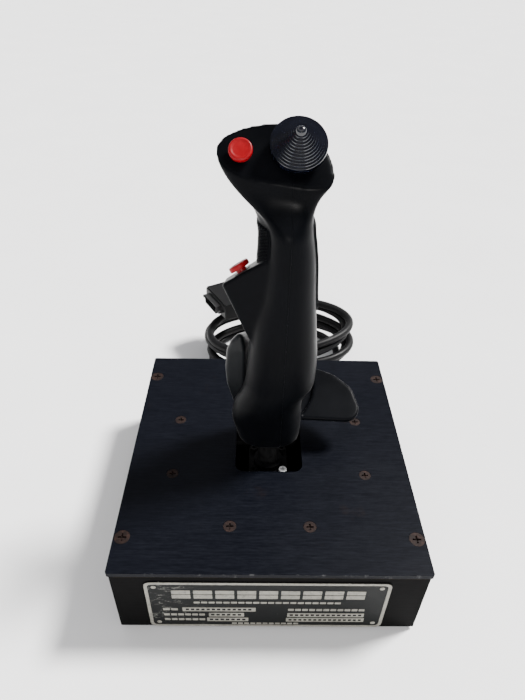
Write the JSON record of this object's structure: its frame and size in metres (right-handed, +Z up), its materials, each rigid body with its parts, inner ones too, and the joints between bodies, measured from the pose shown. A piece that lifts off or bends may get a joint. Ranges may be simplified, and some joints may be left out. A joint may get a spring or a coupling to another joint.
{
  "type": "flight control stick",
  "caption": "Desktop flight control stick: moulded black pistol grip with a coned hat switch, red push buttons, trigger and palm shelf on a sprung gimbal in a box base, with a coiled cord.",
  "frame": {"origin": "middle of the base on the surface that it stands on", "axes": "+Z up, +Y away from the user, so the nameplate faces -Y, +X to the user's right"},
  "size_m": [0.178, 0.3152, 0.2679],
  "materials": {
    "black_paint": "satin black brushed paint",
    "black_board": "matt black paint over board",
    "grip_black": "satin moulded black",
    "hat_black": "glossy blue-black",
    "red_button": "glossy red",
    "switch_black": "black phenolic",
    "rust_screw": "oxidised brown",
    "steel": "plain zinc plate",
    "spring_steel": "drawn wire",
    "white_plastic": "natural nylon",
    "pot_case": "pressed case",
    "green_board": "coated laminate",
    "brass": "turned",
    "plate_black": "screened black on metal",
    "rubber": "moulded",
    "cord_rubber": "smooth cord jacket",
    "wood": "sawn"
  },
  "bodies": {
    "base": {"top_plate": "black_paint", "front_board": "black_board", "rear_board": "black_board", "left_board": "black_board", "right_board": "black_board", "bottom_plate": "black_paint", "corner_blocks": "wood", "rubber_feet": "rubber", "corner_screws": "rust_screw", "bracket_screws": "rust_screw", "deck_screws": "rust_screw", "bottom_screws": "steel", "nameplate": "plate_black", "nameplate_rivets": "steel", "left_bracket": "steel", "right_bracket": "steel", "bearing_bush": "white_plastic", "pitch_pot": "pot_case", "pitch_spring": "spring_steel", "circuit_board": "green_board", "board_parts": "switch_black", "board_standoffs": "brass", "cable_clamp": "white_plastic", "wire_harness": "cord_rubber", "cable_gland": "rubber", "strain_relief": "rubber", "cord_lead": "cord_rubber", "cord_coil": "cord_rubber", "cord_tail": "cord_rubber", "connector_hood": "cord_rubber", "connector_shell": "switch_black", "connector_screws": "switch_black"},
    "gimbal": {"gimbal_ring": "steel", "pitch_pins": "steel", "roll_pot": "pot_case", "roll_spring": "spring_steel"},
    "stick": {"pivot_block": "white_plastic", "roll_pins": "steel", "roll_arm": "steel", "stick_flange": "steel", "flange_screws": "steel", "stick_tube": "steel", "left_grip_shell": "grip_black", "right_grip_shell": "grip_black", "grip_screws": "steel", "grip_pin": "steel", "hat_switch": "switch_black", "thumb_switch": "switch_black", "side_switch": "switch_black", "trigger_switch": "switch_black", "pinky_switch": "switch_black", "trigger_pin": "steel", "trigger_spring": "spring_steel", "pinky_pin": "steel"},
    "hat_ring": {"hat_cross": "steel"},
    "hat": {"hat_cap": "hat_black"},
    "thumb_push": {"thumb_button": "red_button"},
    "side_push": {"side_button": "red_button"},
    "trigger_blade": {"trigger": "grip_black"},
    "pinky_paddle": {"pinky_lever": "grip_black"}
  },
  "joints": [
    {"name": "stick_pitch", "type": "hinge", "parent": "base", "child": "gimbal", "pos_m": [0, 0, 0.0336], "axis": [1, 0, 0], "range_deg": [-17, 17], "stiffness_Nm_per_rad": 2, "deforming": ["pitch_spring"]},
    {"name": "stick_roll", "type": "hinge", "parent": "gimbal", "child": "stick", "pos_m": [0, 0, 0.0336], "axis": [0, 1, 0], "range_deg": [-17, 17], "stiffness_Nm_per_rad": 2, "deforming": ["roll_spring"]},
    {"name": "hat_tilt_fore", "type": "hinge", "parent": "stick", "child": "hat_ring", "pos_m": [0.0085, 0.01093, 0.2509], "axis": [1, 0, 0], "range_deg": [-9, 9], "stiffness_Nm_per_rad": 0.05},
    {"name": "hat_tilt_side", "type": "hinge", "parent": "hat_ring", "child": "hat", "pos_m": [0.0085, 0.01093, 0.2509], "axis": [0, 0.7218, 0.6921], "range_deg": [-9, 9], "stiffness_Nm_per_rad": 0.05},
    {"name": "thumb_press", "type": "slide", "parent": "stick", "child": "thumb_push", "axis": [0, -0.6921, 0.7218], "range_m": [-0.0014, 0], "stiffness_N_per_m": 600, "springref_m": 0.001},
    {"name": "side_press", "type": "slide", "parent": "stick", "child": "side_push", "axis": [-0.5305, 0.3303, 0.7807], "range_m": [-0.0014, 0], "stiffness_N_per_m": 600, "springref_m": 0.001},
    {"name": "trigger_pull", "type": "hinge", "parent": "stick", "child": "trigger_blade", "pos_m": [0.0052, 0.019, 0.2256], "axis": [1, 0, 0], "range_deg": [-9, 0], "stiffness_Nm_per_rad": 0.08, "springref_deg": 17.19, "deforming": ["trigger_spring"]},
    {"name": "pinky_squeeze", "type": "hinge", "parent": "stick", "child": "pinky_paddle", "pos_m": [-0.0175, 0.012, 0.0976], "axis": [0.5878, 0.809, 0], "range_deg": [0, 2.2], "stiffness_Nm_per_rad": 0.3, "springref_deg": -11.46}
  ]
}
